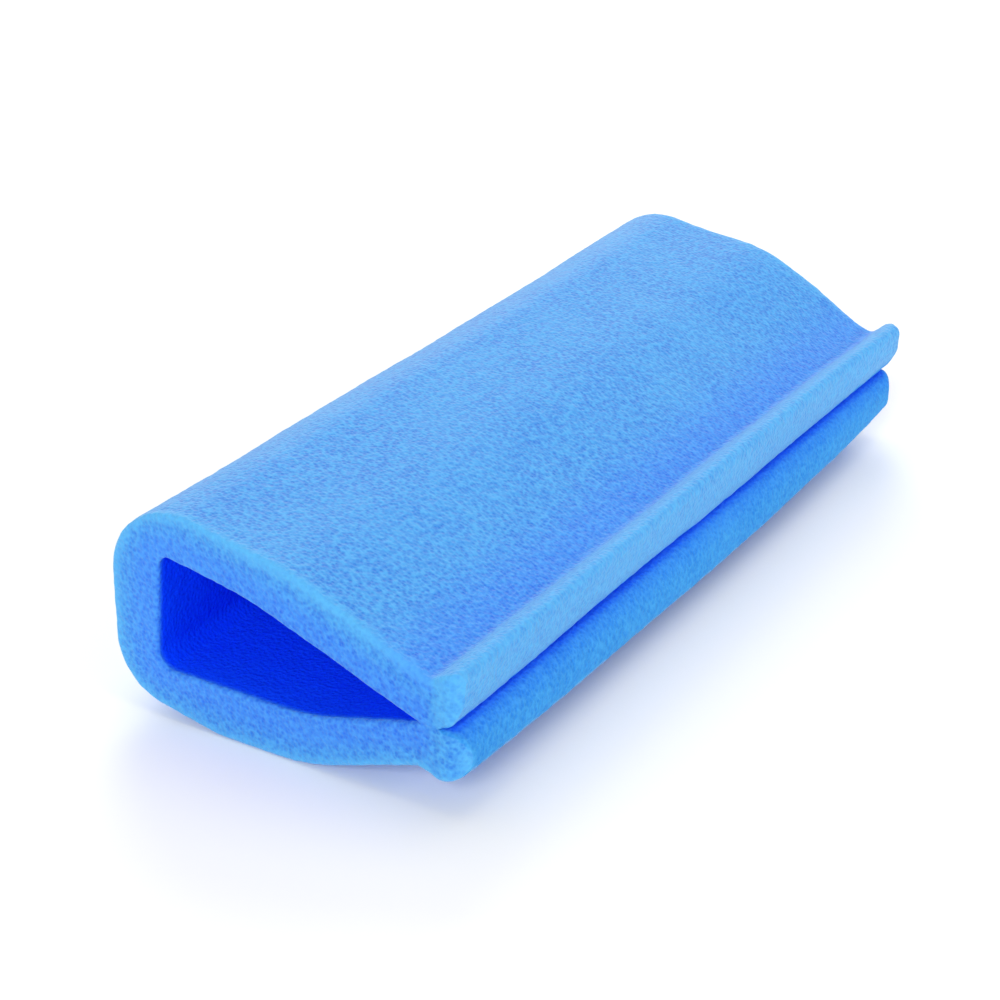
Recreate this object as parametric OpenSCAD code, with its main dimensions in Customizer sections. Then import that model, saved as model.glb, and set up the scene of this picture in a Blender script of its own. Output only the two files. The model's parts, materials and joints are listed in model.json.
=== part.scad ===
// Foam filter sleeve: one sheet of open-cell foam folded into a teardrop tube, open at both ends.
// The sheet's two long edges are bonded together in a fin seam, with a short lip on each side.
// X runs from the fold to the seam, Y along the sleeve, Z up from the flat that it rests on.
// The origin is at the middle of the sleeve's outline, on that flat.

/* [Sleeve] */
// Length of the sleeve along its fold
sleeve_l = 230; // [120:5:400]
// Width from the back of the fold to the nose of the lower lip
sleeve_w = 94; // [92:1:100]
// Height over the fold
sleeve_h = 54; // [53:0.5:57]
// Thickness of the foam sheet
foam_t = 12; // [11:0.5:13]

/* [Fold] */
// Outside radius of the fold's upper corner
fold_top_r = 19.5; // [16:0.5:21]
// Outside radius of the fold's lower corner
fold_low_r = 15.5; // [12:0.5:17]
// Inside radius of both corners
fold_in_r = 3; // [2:0.5:4]

/* [Walls] */
// Slope of the upper wall next to the fold, in degrees
roof_a = 11; // [10:0.5:12]
// Slope of the upper wall next to the seam, in degrees
eave_a = 22.8; // [22:0.2:23.4]
// Slope of the lower wall next to the seam, in degrees
keel_a = 18.7; // [18:0.1:19.4]

/* [Seam] */
// Height of the bond line above the flat
seam_z = 21; // [20.5:0.1:21.5]
// How far the lips reach past the bond line
lip_l = 8.5; // [8:0.5:10]
// Radius of the adhesive bead
bead_r = 2; // [1.5:0.1:2.2]
// Running clearance between the bead and the upper wall
bead_gap = 0.1; // [0.05:0.05:0.3]

/* [Hidden] */
steps = 10;
bead_recess = 1;
foam_blue = [0.30, 0.60, 0.93];
lip_blue = [0.36, 0.66, 0.94];
fold_blue = [0.26, 0.54, 0.90];
bead_white = [0.78, 0.86, 0.93];

// Places across the section
fold_x = -sleeve_w / 2;
seam_x = sleeve_w / 2 - lip_l;
seam = [seam_x, seam_z];
fold_in_x = fold_x + foam_t;
floor_z = foam_t + 1.4;
eave_z = seam_z + foam_t / cos(eave_a) - 0.4;
keel_z = seam_z - foam_t + 2;

// The fold wall lies between these two heights, and is the part that gives when the sleeve is squeezed
fold_from_z = 15.5;
fold_to_z = sleeve_h - 13;

// The roof bends where its two slopes meet
roof_rise = sleeve_h - fold_top_r + fold_top_r * (sin(90 - roof_a) + cos(90 - roof_a) * tan(roof_a));
roof_from_x = fold_x + fold_top_r;
roof_c = roof_rise + roof_from_x * tan(roof_a);
eave_c = eave_z + seam_x * tan(eave_a);
roof_bend_x = (eave_c - roof_c) / (tan(eave_a) - tan(roof_a));
roof_bend = [roof_bend_x, roof_c - roof_bend_x * tan(roof_a)];

// Corners as [x, z, radius]
tube_corners = [
    [seam_x, eave_z, 0],
    [roof_bend[0], roof_bend[1], 60],
    [fold_x, roof_c - fold_x * tan(roof_a), fold_top_r],
    [fold_x, 6, fold_low_r],
    [fold_x + 28.2, 0, 20],
    [seam_x - keel_z / tan(keel_a), 0, 45],
    [seam_x, keel_z, 0]
];
cavity_corners = [
    [seam_x, seam_z, 0],
    [seam_x - 31.8, floor_z, 50],
    [fold_in_x, floor_z + 0.2, fold_in_r + 1],
    [fold_in_x + 2.4, sleeve_h - foam_t + 0.6, fold_in_r],
    [roof_bend[0] - foam_t - 0.5, roof_bend[1] - foam_t + 2.2, 60]
];
upper_lip_corners = [
    [seam_x, seam_z, 0],
    [seam_x + lip_l - 4, seam_z + 0.7, 0.5],
    [seam_x + lip_l - 0.7, seam_z + 8.5, 5],
    [seam_x + lip_l - 1.2, eave_z + 1.4, 2.8],
    [seam_x + lip_l - 4.4, eave_z + 2, 1.8],
    [seam_x + lip_l - 6.6, eave_z - 0.6, 1.8],
    [seam_x, eave_z, 0]
];
lower_lip_corners = [
    [seam_x, keel_z, 0],
    [seam_x + 1.8, keel_z - 2.3, 2],
    [seam_x + lip_l - 3.2, keel_z - 2.3, 3],
    [seam_x + lip_l, keel_z + 1.6, 2.5],
    [seam_x + lip_l, seam_z - 3.6, 2],
    [seam_x + lip_l - 3, seam_z - 0.8, 1],
    [seam_x, seam_z, 0]
];

function unit(v) = v / norm(v);

// Points of a corner at b, between a and c, rounded to radius r
function rounded_corner(a, b, c, r) =
    let (u = unit(a - b), v = unit(c - b), half = acos(u * v) / 2)
    let (hub = b + unit(u + v) * r / sin(half), first = b + u * r / tan(half) - hub)
    let (from = atan2(first[1], first[0]), sweep = (180 - 2 * half) * sign(u[1] * v[0] - u[0] * v[1]))
    r == 0 ? [b] : [for (i = [0:steps]) hub + r * [cos(from + sweep * i / steps), sin(from + sweep * i / steps)]];

// Outline through a list of corners, each with its own radius
function outline(corners) =
    let (n = len(corners), p = [for (c = corners) [c[0], c[1]]])
    [for (i = [0:n - 1]) each rounded_corner(p[(i + n - 1) % n], p[i], p[(i + 1) % n], corners[i][2])];

// Stretches a section drawn in X and Z along the sleeve
module along_sleeve() {
    rotate([90, 0, 0])
        linear_extrude(height = sleeve_l, center = true)
            children();
}

module folded_sheet() {
    difference() {
        polygon(outline(tube_corners));
        polygon(outline(cavity_corners));
    }
}

module bead_groove(clearance) {
    translate(seam)
        circle(r = bead_r + clearance, $fn = 48);
}

module lower_wall() {
    color(foam_blue)
        along_sleeve()
            difference() {
                intersection() {
                    folded_sheet();
                    polygon([[fold_x - 5, -5], [seam_x, -5], seam, [0, 24], [-30, fold_from_z], [fold_x - 5, fold_from_z]]);
                }
                bead_groove(0);
            }
}

module fold_wall() {
    color(fold_blue)
        along_sleeve()
            intersection() {
                folded_sheet();
                polygon([[fold_x - 5, fold_from_z], [-30, fold_from_z], [-30, fold_to_z], [fold_x - 5, fold_to_z]]);
            }
}

module upper_wall() {
    color(foam_blue)
        along_sleeve()
            difference() {
                intersection() {
                    folded_sheet();
                    polygon([seam, [seam_x, 70], [fold_x - 5, 70], [fold_x - 5, fold_to_z], [-30, fold_to_z], [0, 24]]);
                }
                bead_groove(bead_gap);
            }
}

module lower_lip() {
    color(lip_blue)
        along_sleeve()
            difference() {
                polygon(outline(lower_lip_corners));
                bead_groove(0);
            }
}

module upper_lip() {
    color(lip_blue)
        along_sleeve()
            difference() {
                polygon(outline(upper_lip_corners));
                bead_groove(bead_gap);
            }
}

// The bond between the two lips, and the line that the upper wall turns about
module seam_bead() {
    color(bead_white)
        translate([seam_x, 0, seam_z])
            rotate([90, 0, 0])
                cylinder(r = bead_r, h = sleeve_l - 2 * bead_recess, center = true, $fn = 48);
}

lower_wall();
fold_wall();
upper_wall();
lower_lip();
upper_lip();
seam_bead();
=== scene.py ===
import json
import math

import bpy
import numpy as np
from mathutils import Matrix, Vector


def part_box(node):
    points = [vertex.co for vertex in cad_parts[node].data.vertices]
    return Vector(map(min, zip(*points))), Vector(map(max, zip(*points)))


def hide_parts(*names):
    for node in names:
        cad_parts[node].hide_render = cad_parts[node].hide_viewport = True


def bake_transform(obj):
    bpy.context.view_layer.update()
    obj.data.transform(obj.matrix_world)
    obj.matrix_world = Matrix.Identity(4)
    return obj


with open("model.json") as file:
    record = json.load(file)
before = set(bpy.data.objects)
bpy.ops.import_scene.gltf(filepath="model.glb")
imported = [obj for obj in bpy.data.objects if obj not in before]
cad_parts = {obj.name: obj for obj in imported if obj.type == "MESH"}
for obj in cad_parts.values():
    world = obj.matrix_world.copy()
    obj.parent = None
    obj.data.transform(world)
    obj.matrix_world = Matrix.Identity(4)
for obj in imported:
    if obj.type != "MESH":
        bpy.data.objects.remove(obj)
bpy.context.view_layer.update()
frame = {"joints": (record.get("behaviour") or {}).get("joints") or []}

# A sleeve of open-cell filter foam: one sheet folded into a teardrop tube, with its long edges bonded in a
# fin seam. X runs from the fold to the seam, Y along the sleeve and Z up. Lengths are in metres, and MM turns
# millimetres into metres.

MM = 0.001
JOINT = frame["joints"][0]
PIVOT = np.array(JOINT["pos_m"], float)[[0, 2]]  # the bond line, in X and Z
SLEEVE_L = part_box("upper_wall")[1][1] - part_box("upper_wall")[0][1]
FOAM_T = 12 * MM

# ----------------------------------------------------------------------------- section of the sheet
# The sheet's cross-section, from the upper lip's cut edge round the fold to the lower lip's cut edge. Each
# station is a corner of the outer face and the corner of the inner face across from it, as (x, z, radius)
# in mm.
STATIONS = [
    ((46.8, 37.4, 0), (46.0, 23.2, 0)),  # upper lip's cut edge
    ((39.2, 32.6, 2.2), (41.9, 21.45, 2.0)),  # valley behind the crest, and the crevice's end of the bond
    ((35.4, 34.3, 0), (36.3, 21.4, 2.0)),  # the bond's other end, where the cavity starts
    ((3.5, 48.4, 60), (-9.0, 38.5, 60)),  # bend in the upper wall
    ((-47.0, 58.2, 19.5), (-32.6, 42.6, 2.5)),  # upper corner of the fold
    ((-47.0, 6.0, 15.5), (-35.0, 13.6, 4.0)),  # lower corner of the fold
    ((-18.8, 0.0, 20), (-19.0, 13.4, 0)),  # the flat that the sleeve rests on begins
    ((5.5, 0.0, 45), (6.7, 13.4, 50)),  # bend in the lower wall
    ((36.4, 10.6, 5), (36.3, 21.15, 2.0)),  # the cavity's tip again, from below
    ((40.6, 8.5, 4), (41.9, 21.05, 2.0)),  # under the lower lip
    ((47.8, 8.8, 0), (47.2, 20.8, 0)),  # lower lip's cut edge
]
EDGE_R = 1.0 * MM  # rounding of the cut edges round both ends
UPPER_LIP_R = 4.4 * MM  # rounding of the upper lip's cut edge
LOWER_LIP_R = 5.2 * MM  # rounding of the lower lip's, which is more of a nose
STEP = 0.72 * MM  # spacing of the mesh
EDGE_STEPS = 3  # mesh rows round a cut edge
FINE = 0.1 * MM  # spacing at which the section is drawn before it is divided

BOND_MIDDLE = np.array([39.1, 21.27]) * MM  # the middle of the bonded faces, in X and Z
BOND_HALF = 3.0 * MM  # half their width
BEAD_RECESS = 1.7 * MM  # the adhesive stops short of the two ends, where the foam itself is pinched together

# How far the sleeve departs from a straight extrusion, in mm
LOWER_LIP_OUT, LOWER_LIP_DOWN = 0.8, 2.0  # the lower lip's bow along the middle of the sleeve
LOWER_LIP_TUCK = 0.9  # the lower lip, back towards the fold at the far end
UPPER_LIP_OUT, UPPER_LIP_UP = 2.2, 1.0  # the upper lip's flare at the far end
VALLEY_DIP = 1.5  # the valley behind the upper lip, at the far end
CROWN_HUMP = 1.9  # the middle of the roof, at the far end
FOLD_SAG = 0.9  # the roof along the fold, along the middle of the sleeve
NOSE_ROUNDING = 1.6  # the corners of both lips, at both ends
BOND_PINCH = 0.95  # share of the gap in the bond that closes where the adhesive stops short
PINCH_FROM_END = 1.6  # where that starts, from each end

# Painted shade: how deep a blue is painted where shade falls on the foam, where the inside of the cavity is 1
CREVICE_PAINTED_SHADE = 0.6
LOWER_CUT_PAINTED_SHADE = 0.26  # painted shade on the lower lip's cut face, under the upper lip
# the cavity's floor takes a little less painted shade than its wall
CAVITY_FLOOR_PAINTED_SHADE = 0.95
# painted shadow in the valley behind the upper lip, and painted shade on the end faces
VALLEY_PAINTED_SHADOW = 0.22
END_FACE_PAINTED_SHADE = 0.26

EDGE_HIGHLIGHT_WIDTH = 3.4  # width in mm of the painted highlight along the outer edges
SHADED_COPY_FROM = 0.45  # the walls take the shaded copy of the foam material from this much painted shade
SHADE_FACES_ALONG = 0.6  # the lips take it as painted shade on faces whose normal has less than this along the sleeve
SHADE_FACES_CREVICE = -0.5  # and, along Z, more than this on the lower lip and less than this on the upper lip

# Where one piece of the sheet ends and the next begins, as in the CAD model
SEAM_X = PIVOT[0]
FOLD_FROM_Z, FOLD_TO_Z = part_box("fold_wall")[0][2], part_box("fold_wall")[1][2]


def unit(v):
    return v / np.linalg.norm(v)


def rounded(before, corner, after, radius):
    """Points of the arc that rounds a corner."""
    if radius == 0:
        return corner[None]
    u, v = unit(before - corner), unit(after - corner)
    half = math.acos(u @ v) / 2
    hub = corner + unit(u + v) * radius / math.sin(half)
    first = corner + u * radius / math.tan(half) - hub
    sweep = (math.pi - 2 * half) * np.sign(u[1] * v[0] - u[0] * v[1])
    turn = sweep * np.linspace(0, 1, max(2, math.ceil(abs(sweep) * radius / FINE)))
    c, s = np.cos(turn), np.sin(turn)
    return hub + np.stack([first[0] * c - first[1] * s, first[0] * s + first[1] * c], 1)


def face_line(corners):
    """One face of the sheet: its points in X and Z, how far along it each lies, and where the stations lie."""
    at = np.array([c[:2] for c in corners]) * MM
    arcs = [at[:1]]
    arcs += [rounded(at[k - 1], at[k], at[k + 1], corners[k][2] * MM) for k in range(1, len(at) - 1)]
    arcs += [at[-1:]]
    points = np.concatenate(arcs)
    along = np.concatenate([[0], np.cumsum(np.linalg.norm(np.diff(points, axis=0), axis=1))])
    ends = np.cumsum([len(a) for a in arcs])
    stations = [(along[e - len(a)] + along[e - 1]) / 2 for a, e in zip(arcs, ends)]
    return points, along, np.array(stations)


def section():
    """Matched points of the outer and inner faces, close together, and how far along the sheet each pair is."""
    outer, outer_at, outer_stations = face_line([s[0] for s in STATIONS])
    inner, inner_at, inner_stations = face_line([s[1] for s in STATIONS])
    middle = (outer_stations + inner_stations) / 2
    along = np.arange(0, middle[-1], FINE)
    across = []
    for points, at, stations in ((outer, outer_at, outer_stations), (inner, inner_at, inner_stations)):
        here = np.interp(along, middle, stations)
        across.append(np.stack([np.interp(here, at, points[:, k]) for k in (0, 1)], 1))
    return along, across[0], across[1]


# ------------------------------------------------------------------------------------- foam surface
def hashed(ix, iy, iz, seed):
    """A number from -1 to 1 for each lattice point, the same each run."""
    h = (ix * 374761393 + iy * 668265263 + iz * 2147483629 + seed * 974634777) & 0xFFFFFFFF
    h = ((h ^ (h >> 13)) * 1274126177) & 0xFFFFFFFF
    return ((h ^ (h >> 16)) & 0xFFFFFFFF) / 0x7FFFFFFF - 1.0


def noise(p, size, seed):
    """Smooth noise from -1 to 1 with features of the given size."""
    turned = np.linalg.qr(np.random.default_rng(seed).normal(size=(3, 3)))[0]  # so that no lattice line shows
    q = p @ turned / size + 100.0
    cell = np.floor(q).astype(np.int64)
    f = q - cell
    f = f * f * f * (f * (6 * f - 15) + 10)
    total = np.zeros(len(p))
    for dx in (0, 1):
        for dy in (0, 1):
            for dz in (0, 1):
                share = (f[:, 0] if dx else 1 - f[:, 0]) * (f[:, 1] if dy else 1 - f[:, 1])
                share = share * (f[:, 2] if dz else 1 - f[:, 2])
                total += share * hashed(cell[:, 0] + dx, cell[:, 1] + dy, cell[:, 2] + dz, seed)
    return total


def smoothstep(t):
    t = np.clip(t, 0, 1)
    return t * t * (3 - 2 * t)


def rise(value, start, over):
    """0 at start and 1 from start + over on, both in mm, with a smooth rise between. over may be negative."""
    return smoothstep((value - start * MM) / (over * MM))


def from_end(y):
    """Distance from the nearer end of the sleeve."""
    return SLEEVE_L / 2 - np.abs(y)


def in_bond(x, z):
    """1 on the faces that the adhesive joins, falling to 0 around them."""
    across = smoothstep((BOND_HALF - np.abs(x - BOND_MIDDLE[0])) / (0.8 * MM))
    return across * rise(np.abs(z - BOND_MIDDLE[1]), 1.4, -0.6)


def painted_shade_of(p, depth):
    """How much painted shade the foam takes, from 0 to 1, as a deeper blue where shade falls. It is deepest on
    the inner face, in the cavity and the crevice, with a little painted shade in the valley and on the end
    faces."""
    x, y, z = p.T
    through = depth / FOAM_T  # 0 on the outer face, 1 on the inner one
    lip, upper = x > BOND_MIDDLE[0], z > BOND_MIDDLE[1]
    inner = smoothstep((through - np.where(lip, 0.58, 0.45)) / np.where(lip, 0.42, 0.5))
    inner = inner * rise(from_end(y), 0.2, 2.2)
    cut_face = rise(x, 43.5, 2)
    lip_shade = CREVICE_PAINTED_SHADE - cut_face * (CREVICE_PAINTED_SHADE - np.where(upper, 0, LOWER_CUT_PAINTED_SHADE))
    on_floor = (z < 20 * MM) & (x > -32 * MM)
    inner = inner * np.where(lip, lip_shade, 1) * np.where(on_floor, CAVITY_FLOOR_PAINTED_SHADE, 1)
    # painted shadow in the valley behind the upper lip, and painted shade on the end faces
    valley_shadow = upper * rise(x, 20, 17) * rise(x, 40.8, -1.8) * smoothstep((0.4 - through) / 0.2)
    end_face_shade = rise(from_end(y), 1, -0.6) * rise(x, 41, -4) * smoothstep((through - 0.1) / 0.6)
    return np.maximum(inner, np.maximum(VALLEY_PAINTED_SHADOW * valley_shadow, END_FACE_PAINTED_SHADE * end_face_shade))


def cut_paleness_and_highlight(p, depth):
    """1 on the upper lip's roll and cut edge, and less low on the lower lip's cut edge: partly the cut faces'
    own paler tone, partly a painted highlight where light reaches the thin upper lip from above and through it.
    """
    x, z = p[:, 0], p[:, 2]
    upper = rise(x, 39.2, 2.4) * (z > BOND_MIDDLE[1] + 1 * MM)
    lower = rise(x, 44.5, 1.5) * (z < BOND_MIDDLE[1]) * smoothstep((0.6 - depth / FOAM_T) / 0.5)
    return upper + 0.5 * lower


def sag(p):
    """Moves the points to where the real sleeve departs from a straight extrusion, and gives them back. Each
    rise() says where in mm a movement comes in, and over what distance."""
    x, y, z = p.T  # views, so that what is added to them moves the points
    middle = 1 - (2 * y / SLEEVE_L) ** 2
    far = rise(y, 70, 45)
    lower_lip = rise(x, 22, 20) * rise(z, 21, -8)
    upper_lip = rise(x, 36, 9) * rise(z, 21.5, 8)
    x += MM * (LOWER_LIP_OUT * middle - LOWER_LIP_TUCK * far) * lower_lip
    x += MM * UPPER_LIP_OUT * far * upper_lip
    z += MM * (UPPER_LIP_UP * far * upper_lip - LOWER_LIP_DOWN * middle * lower_lip)
    z -= MM * VALLEY_DIP * far * rise(x, 19, 18) * rise(x, 43.5, -5) * rise(z, 24, 8)
    z += MM * CROWN_HUMP * far * (1 - rise(np.abs(x - 8 * MM), 0, 28)) * rise(z, 20, 5)
    z -= MM * FOLD_SAG * middle * rise(x, -24, -10) * rise(z, 28, 14)
    nose = np.clip((x - 42.5 * MM) / (3.5 * MM), 0, 1.3) ** 2
    y -= np.sign(y) * MM * NOSE_ROUNDING * nose * rise(from_end(y), 7, -7)
    z += BOND_PINCH * in_bond(x, z) * rise(from_end(y), PINCH_FROM_END, -0.8) * (BOND_MIDDLE[1] - z)
    return p


def grain(p):
    """How far the cut foam stands out at each point: slow waves in the sheet, and its coarse cells."""
    return MM * (
        0.30 * noise(p, 48 * MM, 3)
        + 0.10 * noise(p, 14 * MM, 5)
        + 0.08 * noise(p, 2.1 * MM, 7)
        + 0.05 * noise(p, 1.4 * MM, 11)
    )


def mesh_normals(points, quads):
    """Area-weighted vertex normals."""
    a, b, c, d = (points[quads[:, k]] for k in range(4))
    face = np.cross(c - a, d - b)
    normals = np.zeros_like(points)
    for k in range(4):
        np.add.at(normals, quads[:, k], face)
    return normals / np.maximum(np.linalg.norm(normals, axis=1), 1e-12)[:, None]


# ---------------------------------------------------------------------------------- the whole sheet
def cross_loop(inset, inset_y, corner, inner_corner, depths, lengths):
    """Once round the sheet's cross-cut, as (depth below the outer face, place along Y)."""
    half = SLEEVE_L / 2
    turn = np.linspace(0, math.pi / 2, EDGE_STEPS + 1)
    near_face = inset + corner * (1 - np.cos(turn))
    near_end = half - inset_y - corner * (1 - np.sin(turn))
    inner_face = inset + inner_corner * (1 - np.cos(turn))
    inner_end = half - inset_y - inner_corner * (1 - np.sin(turn))
    low, high = inset + corner, FOAM_T - inset - inner_corner
    across = low + (high - low) * depths
    parts = [
        np.stack([np.full(len(lengths), inset), lengths], 1)[:-1],
        np.stack([near_face, near_end], 1)[:-1],
        np.stack([across, np.full(len(across), half - inset_y)], 1)[:-1],
        np.stack([FOAM_T - inner_face[::-1], inner_end[::-1]], 1)[:-1],
        np.stack([np.full(len(lengths), FOAM_T - inset), lengths[::-1]], 1)[:-1],
        np.stack([FOAM_T - inner_face, -inner_end], 1)[:-1],
        np.stack([across[::-1], np.full(len(across), inset_y - half)], 1)[:-1],
        np.stack([near_face[::-1], -near_end[::-1]], 1)[:-1],
    ]
    return np.concatenate(parts)


def edge_distance(from_cut_face, loop):
    """Distance from each point of a loop to the nearest edge of the sheet, where two of its sides meet."""
    sides = [np.full(len(loop), from_cut_face), loop[:, 0], FOAM_T - loop[:, 0], from_end(loop[:, 1])]
    return np.sort(np.abs(sides), axis=0)[1]


def build_sheet():
    """The whole sheet as one closed surface. Gives its points and quads, the row along the sheet that each quad
    starts at, each row's place in the section, each point's distance from an edge and depth in the sheet, the
    mesh steps along and through the sheet, and the numbers of the points in each row."""
    along, outer, inner = section()
    total = along[-1]
    half = SLEEVE_L / 2
    lengths = np.linspace(-(half - EDGE_R), half - EDGE_R, math.ceil((SLEEVE_L - 2 * EDGE_R) / STEP) + 1)
    depths = np.linspace(0, 1, math.ceil((FOAM_T - 2 * EDGE_R) / STEP) + 1)
    rows = []

    def lip_rows(radius, place):
        count = math.ceil(radius * math.pi / 2 / STEP)
        for k in range(count):
            turn = math.pi / 2 * (1 - k / count)
            inset = 1 - math.cos(turn)
            rows.append((place(radius * (1 - math.sin(turn))), radius * inset, EDGE_R * inset))

    lip_rows(UPPER_LIP_R, lambda d: d)
    steps = math.ceil((total - UPPER_LIP_R - LOWER_LIP_R) / STEP)
    rows += [(s, 0.0, 0.0) for s in np.linspace(UPPER_LIP_R, total - LOWER_LIP_R, steps + 1)]
    end = len(rows)
    lip_rows(LOWER_LIP_R, lambda d: total - d)
    rows[end:] = rows[end:][::-1]

    points, to_edge, depth = [], [], []
    for s, inset, inset_y in rows:
        o, i = (np.array([np.interp(s, along, face[:, k]) for k in (0, 1)]) for face in (outer, inner))
        inner_corner = (EDGE_R - inset_y) * (1 - 0.9 * in_bond(i[0], i[1]))
        loop = cross_loop(inset, inset_y, EDGE_R - inset_y, inner_corner, depths, lengths)
        to_edge.append(edge_distance(min(s, total - s), loop))
        depth.append(loop[:, 0])
        xz = o + (i - o) * loop[:, :1] / FOAM_T
        points.append(np.stack([xz[:, 0], loop[:, 1], xz[:, 1]], 1))
    width = len(points[0])
    count = len(rows)
    index = np.arange(count * width).reshape(count, width)
    across = np.roll(index, -1, axis=1)
    quads = np.stack([index[:-1], across[:-1], across[1:], index[1:]], -1).reshape(-1, 4)
    row_of = np.repeat(np.arange(count - 1), width)
    points = np.concatenate(points)
    to_edge = np.concatenate(to_edge)
    depth = np.concatenate(depth)

    # The two cut edges of the sheet are closed with a grid that shares the last row's points.
    ny, nd = len(lengths) - 1, len(depths) - 1
    far = ny + EDGE_STEPS
    turn_back = far + nd + EDGE_STEPS
    near = turn_back + ny + EDGE_STEPS
    for row, flip in ((0, False), (count - 1, True)):
        loop = index[row]
        grid = np.zeros((nd + 1, ny + 1), np.int64)
        grid[0] = loop[: ny + 1]
        grid[nd] = loop[turn_back : turn_back + ny + 1][::-1]
        grid[:, ny] = loop[far : far + nd + 1]
        last = loop[near + nd] if near + nd < width else loop[0]
        grid[:, 0] = np.append(loop[near : near + nd], last)[::-1]
        grid[0, 0], grid[nd, 0] = loop[0], loop[turn_back + ny]
        grid[0, ny], grid[nd, ny] = loop[ny], loop[turn_back]
        top, bottom = points[grid[0, 1:-1]], points[grid[nd, 1:-1]]
        rim = depth[grid[0, 1:-1]], depth[grid[nd, 1:-1]]
        for k in range(1, nd):
            grid[k, 1:-1] = len(points) + np.arange(ny - 1)
            points = np.concatenate([points, top + (bottom - top) * depths[k]])
            in_patch = np.stack([rim[0] + (rim[1] - rim[0]) * depths[k], lengths[1:-1]], 1)
            to_edge = np.concatenate([to_edge, edge_distance(0.0, in_patch)])
            depth = np.concatenate([depth, in_patch[:, 0]])
        cells = np.stack([grid[:-1, :-1], grid[1:, :-1], grid[1:, 1:], grid[:-1, 1:]], -1).reshape(-1, 4)
        quads = np.concatenate([quads, cells[:, ::-1] if flip else cells])
        row_of = np.concatenate([row_of, np.full(len(cells), min(row, count - 2))])

    row_xz = np.array([[np.interp(s, along, outer[:, k]) for k in (0, 1)] for s, _, _ in rows])
    return points, quads, row_of, row_xz, to_edge, depth, (ny, nd), index


def weld(points, quads):
    """The quads, with each corner moved to the first of the points that lie where it does."""
    key = np.round(points / (1e-4 * MM)).astype(np.int64)
    _, first, back = np.unique(key, axis=0, return_index=True, return_inverse=True)
    return first[back.ravel()][quads]


def bulkhead(loop, ny, nd):
    """Faces that close a piece where it meets the next: strips from the outer face to the inner one."""
    far = ny + EDGE_STEPS
    turn_back = far + nd + EDGE_STEPS
    strips = [
        (loop[j], loop[j + 1], loop[turn_back + ny - j - 1], loop[turn_back + ny - j]) for j in range(ny)
    ]
    return strips + [tuple(loop[ny : turn_back + 1]), tuple(np.append(loop[turn_back + ny :], loop[0]))]


def new_mesh(name, points, faces, normals):
    mesh = bpy.data.meshes.new(name)
    mesh.from_pydata(points.tolist(), [], faces)
    mesh.update()
    mesh.polygons.foreach_set("use_smooth", [True] * len(mesh.polygons))
    mesh.normals_split_custom_set_from_vertices(normals.tolist())
    place = mesh.attributes.new("foam_place", "FLOAT_VECTOR", "POINT")
    place.data.foreach_set("vector", points.astype(np.float32).ravel())
    obj = bpy.data.objects.new(name, mesh)
    bpy.context.collection.objects.link(obj)
    return obj


def point_values(obj, name, values):
    attribute = obj.data.attributes.new(name, "FLOAT", "POINT")
    attribute.data.foreach_set("value", values.astype(np.float32))


def foam_pieces():
    """The sheet's five pieces, from the upper lip to the lower lip. Each is closed, and where two meet they
    share the same points and normals."""
    points, quads, row_of, row_xz, to_edge, depth, (ny, nd), index = build_sheet()
    count = len(index)
    quads = weld(points, quads)
    # painted shade: how deep a blue is painted at each point
    shade_share = painted_shade_of(points, depth)
    # the cut faces' paler tone, and a painted highlight on the upper lip
    cut_highlight = cut_paleness_and_highlight(points, depth)
    # a painted highlight along the outer edges of the sheet
    edge_highlight = rise(to_edge, EDGE_HIGHLIGHT_WIDTH, -EDGE_HIGHLIGHT_WIDTH) * smoothstep((0.75 - depth / FOAM_T) / 0.35)
    points = sag(points)
    normals = mesh_normals(points, quads)
    points = points + normals * grain(points)[:, None]
    points[:, 2] = np.maximum(points[:, 2], 0)  # where the waves reach the floor the foam lies flat on it
    normals = mesh_normals(points, quads)

    upper_half = np.arange(count) < count // 2
    cuts = [
        int(np.argmax(row_xz[:, 0] < SEAM_X)),
        int(np.argmax((row_xz[:, 1] < FOLD_TO_Z) & (row_xz[:, 0] < 0))),
        int(np.argmax((row_xz[:, 1] < FOLD_FROM_Z) & (row_xz[:, 0] < 0))),
        int(np.argmax((row_xz[:, 0] > SEAM_X) & ~upper_half)),
    ]
    names = ["upper_lip", "upper_wall", "fold_wall", "lower_wall", "lower_lip"]
    found = []
    for name, low, high in zip(names, [0] + cuts, cuts + [count - 1]):
        faces = quads[(row_of >= low) & (row_of < high)].tolist()
        if low:
            faces += [f[::-1] for f in bulkhead(index[low], ny, nd)]
        if high < count - 1:
            faces += bulkhead(index[high], ny, nd)
        faces = [tuple(dict.fromkeys(int(v) for v in f)) for f in faces]
        faces = [f for f in faces if len(f) > 2]
        used = np.unique([v for f in faces for v in f])
        place = np.zeros(len(points), np.int64)
        place[used] = np.arange(len(used))
        faces = [tuple(place[list(f)]) for f in faces]
        obj = new_mesh("foam_" + name, points[used], faces, normals[used])
        point_values(obj, "foam_painted_highlight", edge_highlight[used])
        point_values(obj, "foam_cut_tone_highlight", cut_highlight[used])
        point_values(obj, "foam_painted_shade", shade_share[used])
        corner = np.array([f[0] for f in faces])
        facing, shade_at_face = normals[used][corner], shade_share[used][corner]
        # faces in shade take the shaded copy of the material: the upper lip's underside, the lower lip but for
        # its ends and underside, elsewhere faces with enough painted shade
        if name == "lower_lip":
            in_shade = (np.abs(facing[:, 1]) < SHADE_FACES_ALONG) & (facing[:, 2] > SHADE_FACES_CREVICE)
        elif name == "upper_lip":
            in_shade = (np.abs(facing[:, 1]) < SHADE_FACES_ALONG) & (facing[:, 2] < SHADE_FACES_CREVICE)
        else:
            in_shade = shade_at_face > SHADED_COPY_FROM
        obj.data.polygons.foreach_set("material_index", in_shade.astype(np.int32))
        found.append((name, obj))
    return found


# ------------------------------------------------------------------------------------ adhesive line
BEAD_STEP = 1.6 * MM


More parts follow.
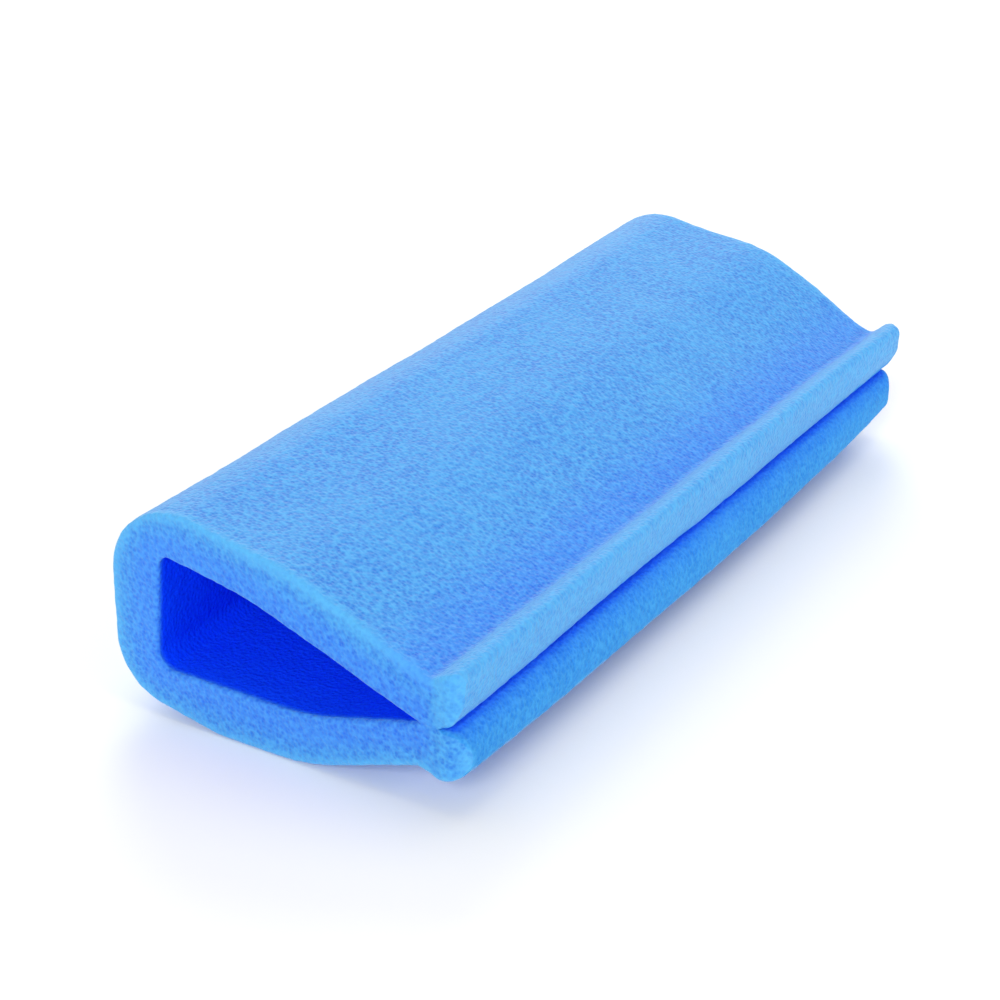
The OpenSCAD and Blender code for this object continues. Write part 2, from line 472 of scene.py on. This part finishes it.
def adhesive_line():
    """The pressed bead of adhesive between the two walls, a thin uneven ribbon."""
    reach = SLEEVE_L / 2 - BEAD_RECESS
    y = np.linspace(-reach, reach, math.ceil(2 * reach / BEAD_STEP) + 1)
    turn = np.linspace(0, 2 * math.pi, 24, endpoint=False)
    spot = np.stack([np.zeros_like(y), y, np.zeros_like(y)], 1)
    half_w = MM * (2.5 + 0.35 * noise(spot, 9 * MM, 21) + 0.2 * noise(spot, 3.5 * MM, 22))
    half_t = MM * (0.34 + 0.05 * noise(spot, 6 * MM, 23))
    shift = MM * 0.25 * noise(spot, 16 * MM, 24)
    close = np.sqrt(np.clip((reach - np.abs(y)) / (1.5 * MM), 0, 1))
    half_w, half_t = half_w * (0.3 + 0.7 * close), half_t * (0.3 + 0.7 * close)
    x = BOND_MIDDLE[0] + shift[:, None] + half_w[:, None] * np.cos(turn)
    z = BOND_MIDDLE[1] + half_t[:, None] * np.sign(np.sin(turn)) * np.abs(np.sin(turn)) ** 0.7
    points = np.stack([x, np.repeat(y[:, None], len(turn), 1), z], -1).reshape(-1, 3)
    index = np.arange(len(points)).reshape(len(y), len(turn))
    across = np.roll(index, -1, axis=1)
    quads = np.stack([index[:-1], index[1:], across[1:], across[:-1]], -1).reshape(-1, 4)
    faces = quads.tolist() + [tuple(index[0]), tuple(index[-1][::-1])]
    normals = mesh_normals(points, quads)
    return new_mesh("adhesive_line", points, faces, normals)


# ---------------------------------------------------------------------------------------- materials
def new_material(name):
    material = bpy.data.materials.new(name)
    material.use_nodes = True
    tree = material.node_tree
    shader = tree.nodes["Principled BSDF"]
    return material, tree, shader


def node(tree, kind, **settings):
    made = tree.nodes.new(kind)
    for key, value in settings.items():
        setattr(made, key, value)
    return made


def attribute(tree, name, socket):
    return node(tree, "ShaderNodeAttribute", attribute_name=name).outputs[socket]


def texture(tree, kind, at, scale, output, **settings):
    made = node(tree, kind, **{k: v for k, v in settings.items() if not k[0].isupper()})
    tree.links.new(at, made.inputs["Vector"])
    made.inputs["Scale"].default_value = scale
    for key, value in settings.items():
        if key[0].isupper():
            made.inputs[key].default_value = value
    return made.outputs[output]


def ramp(tree, value, low, high, to_low=0.0, to_high=1.0):
    """value from low to high, taken smoothly to to_low and to_high."""
    made = node(tree, "ShaderNodeMapRange", interpolation_type="SMOOTHSTEP")
    tree.links.new(value, made.inputs["Value"])
    for key, number in zip(("From Min", "From Max", "To Min", "To Max"), (low, high, to_low, to_high)):
        made.inputs[key].default_value = number
    return made.outputs["Result"]


def math_node(tree, operation, a, b):
    made = node(tree, "ShaderNodeMath", operation=operation)
    for socket, value in zip(made.inputs, (a, b)):
        if isinstance(value, (int, float)):
            socket.default_value = value
        else:
            tree.links.new(value, socket)
    return made.outputs[0]


def mix_colour(tree, share, a, b):
    made = node(tree, "ShaderNodeMix", data_type="RGBA")
    tree.links.new(share, made.inputs["Factor"])
    for socket, value in ((made.inputs[6], a), (made.inputs[7], b)):
        if isinstance(value, tuple):
            socket.default_value = (*value, 1)
        else:
            tree.links.new(value, socket)
    return made.outputs[2]


def add_bump(tree, shader, height, strength, distance):
    bump = node(tree, "ShaderNodeBump")
    bump.inputs["Strength"].default_value = strength
    bump.inputs["Distance"].default_value = distance
    tree.links.new(height, bump.inputs["Height"])
    tree.links.new(bump.outputs["Normal"], shader.inputs["Normal"])


# The foam's colours, linear, and the sizes of its patterns
STRUT_BLUE = (0.070, 0.385, 0.790)
PORE_BLUE = (0.004, 0.150, 0.640)
# the paler cut faces' own tone, and painted highlights
PALE_CUT_AND_HIGHLIGHT_BLUE = (0.092, 0.450, 0.820)
# painted shade: the deep blue that shaded places are drawn to
PAINTED_SHADE_BLUE = (0.001, 0.060, 0.950)
PORE_SIZE = 1.0 * MM
FINE_SIZE = 0.55 * MM  # roughness of the struts
CLOUD_SIZE = 1.35 * MM  # mottling
STAIN_SIZE = 26 * MM  # slow changes of tone
MIDDLE_TONE = 0.62  # share of strut colour that a lower contrast draws the mottling to


def foam_material(name, gloss, sheen, contrast):
    """Matt open-cell foam: struts and pores in two blues, mottled, paler along the cut edges, partly their own
    tone and partly a painted highlight, and with painted shade as a deeper blue where shade falls.
    """
    material, tree, shader = new_material(name)
    at = attribute(tree, "foam_place", "Vector")
    cells = texture(tree, "ShaderNodeTexVoronoi", at, 1 / PORE_SIZE, "Distance", feature="F1", Randomness=0.9)
    fine = texture(tree, "ShaderNodeTexNoise", at, 1 / FINE_SIZE, "Fac", Detail=1.0)
    coarse = texture(tree, "ShaderNodeTexNoise", at, 1 / CLOUD_SIZE, "Fac", Detail=1.0)
    slow = texture(tree, "ShaderNodeTexNoise", at, 1 / STAIN_SIZE, "Fac", Detail=2.0)
    strut = math_node(tree, "MULTIPLY", ramp(tree, cells, 0.20, 0.70), 0.45)
    cloud = math_node(tree, "MULTIPLY", ramp(tree, coarse, 0.33, 0.67), 0.55)
    share = math_node(tree, "MULTIPLY", math_node(tree, "ADD", strut, cloud), contrast)
    share = math_node(tree, "ADD", share, MIDDLE_TONE * (1 - contrast))
    pored = mix_colour(tree, share, PORE_BLUE, STRUT_BLUE)
    colour = mix_colour(tree, ramp(tree, slow, 0.40, 0.70, 0.0, 0.22), pored, STRUT_BLUE)
    # the painted highlight along the outer edges, and the cut faces' paler tone with its painted highlight
    edge_highlight = math_node(tree, "MULTIPLY", attribute(tree, "foam_painted_highlight", "Fac"), 0.70)
    cut_highlight = math_node(tree, "MULTIPLY", attribute(tree, "foam_cut_tone_highlight", "Fac"), 0.38)
    colour = mix_colour(tree, math_node(tree, "MAXIMUM", edge_highlight, cut_highlight), colour, PALE_CUT_AND_HIGHLIGHT_BLUE)
    # painted shade, as a deeper blue
    shade_share = attribute(tree, "foam_painted_shade", "Fac")
    colour = mix_colour(tree, shade_share, colour, PAINTED_SHADE_BLUE)
    tree.links.new(colour, shader.inputs["Base Color"])
    pits = math_node(tree, "MULTIPLY", cells, 0.8)
    hairs = math_node(tree, "MULTIPLY", fine, 0.35)
    add_bump(tree, shader, math_node(tree, "ADD", pits, hairs), 0.75, 0.45 * MM)
    tree.links.new(ramp(tree, coarse, 0.3, 0.7, 0.58, 0.72), shader.inputs["Roughness"])
    shader.inputs["Specular IOR Level"].default_value = gloss
    shader.inputs["Sheen Weight"].default_value = sheen
    shader.inputs["Sheen Roughness"].default_value = 0.5
    shader.inputs["Sheen Tint"].default_value = (0.70, 0.90, 1.0, 1)
    return material


def adhesive_material():
    """Clear adhesive that has soaked into the foam, so it shows the foam's blue, with small bubbles."""
    material, tree, shader = new_material("seam_adhesive")
    at = attribute(tree, "foam_place", "Vector")
    bubbles = texture(tree, "ShaderNodeTexVoronoi", at, 1 / (0.9 * MM), "Distance", feature="F1")
    cloud = texture(tree, "ShaderNodeTexNoise", at, 1 / (5 * MM), "Fac", Detail=2.0)
    colour = mix_colour(tree, ramp(tree, cloud, 0.35, 0.7), (0.010, 0.14, 0.70), (0.035, 0.24, 0.80))
    colour = mix_colour(tree, ramp(tree, bubbles, 0.3, 0.1, 0.0, 0.3), colour, (0.12, 0.42, 0.88))
    tree.links.new(colour, shader.inputs["Base Color"])
    tree.links.new(ramp(tree, cloud, 0.3, 0.7, 0.34, 0.52), shader.inputs["Roughness"])
    add_bump(tree, shader, bubbles, 0.4, 0.1 * MM)
    return material


def floor_material():
    material, tree, shader = new_material("pale_floor")
    coordinates = node(tree, "ShaderNodeTexCoord").outputs["Object"]
    cloud = texture(tree, "ShaderNodeTexNoise", coordinates, 3.0, "Fac", Detail=2.0)
    tree.links.new(mix_colour(tree, cloud, (0.93, 0.93, 0.93), (0.97, 0.97, 0.97)), shader.inputs["Base Color"])
    shader.inputs["Roughness"].default_value = 0.9
    shader.inputs["Specular IOR Level"].default_value = 0.1
    return material


def place_pieces():
    outside = foam_material("blue_foam", gloss=0.30, sheen=0.26, contrast=0.85)
    # a shaded copy of the foam, without sheen, with little gloss and less contrast, for the faces in painted
    # shade
    shaded_copy = foam_material("blue_foam_in_painted_shade", gloss=0.04, sheen=0.0, contrast=0.5)
    for name, obj in foam_pieces():
        obj.data.materials.append(outside)
        obj.data.materials.append(shaded_copy)
        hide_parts(name)
        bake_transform(obj)
    bead = adhesive_line()
    bead.data.materials.append(adhesive_material())
    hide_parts("seam_bead")
    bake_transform(bead)


# ------------------------------------------------------------------------------------------- studio
CAMERA_AZIMUTH, CAMERA_ELEVATION = 31.55, 26.28  # degrees
CAMERA_AT = (0.2815, -0.4812, 0.2918)
LENS_MM = 87.05

# Where each light comes from, its width in degrees across, and its strength
LIGHTS = {
    "top": ((-0.25, 0.35, 1.50), 50, 0.80),
    "back": ((-0.75, 1.15, 0.80), 28, 1.05),
    "side": ((1.25, -0.10, 0.55), 20, 0.60),
    "front": ((0.36, -1.12, 0.74), 20, 1.35),
}


def camera():
    data = bpy.data.cameras.new("camera")
    data.lens = LENS_MM
    data.sensor_width = 36
    data.clip_start, data.clip_end = 0.01, 20
    obj = bpy.data.objects.new("camera", data)
    bpy.context.collection.objects.link(obj)
    obj.location = CAMERA_AT
    obj.rotation_euler = (math.radians(90 - CAMERA_ELEVATION), 0, math.radians(CAMERA_AZIMUTH))
    bpy.context.scene.camera = obj


def soft_light(name, come_from, width, strength):
    """A light as wide in degrees as a studio softbox, that reaches the whole floor alike."""
    data = bpy.data.lights.new(name, "SUN")
    data.angle = math.radians(width)
    data.energy = strength
    obj = bpy.data.objects.new(name, data)
    bpy.context.collection.objects.link(obj)
    obj.location = come_from
    obj.rotation_euler = (-Vector(come_from)).to_track_quat("-Z", "Y").to_euler()


def studio():
    world = bpy.data.worlds.new("studio")
    bpy.context.scene.world = world
    world.use_nodes = True
    tree = world.node_tree
    background = tree.nodes["Background"]
    background.inputs["Color"].default_value = (1, 1, 1, 1)
    split = node(tree, "ShaderNodeSeparateXYZ")  # white at the horizon, softer light from above
    tree.links.new(node(tree, "ShaderNodeTexCoord").outputs["Generated"], split.inputs[0])
    tree.links.new(ramp(tree, split.outputs["Z"], 0.15, 0.50, 1.0, 0.42), background.inputs["Strength"])
    for name, (come_from, width, strength) in LIGHTS.items():
        soft_light(name, come_from, width, strength)
    bpy.context.scene.cycles.diffuse_bounces = 12  # light bounces many times inside the foam's cavity
    bpy.context.scene.cycles.max_bounces = 16
    bpy.context.scene.view_settings.view_transform = "Standard"
    bpy.ops.mesh.primitive_plane_add(size=8)
    floor = bpy.context.object
    floor.name = "floor"
    floor.data.materials.append(floor_material())


place_pieces()
camera()
studio()
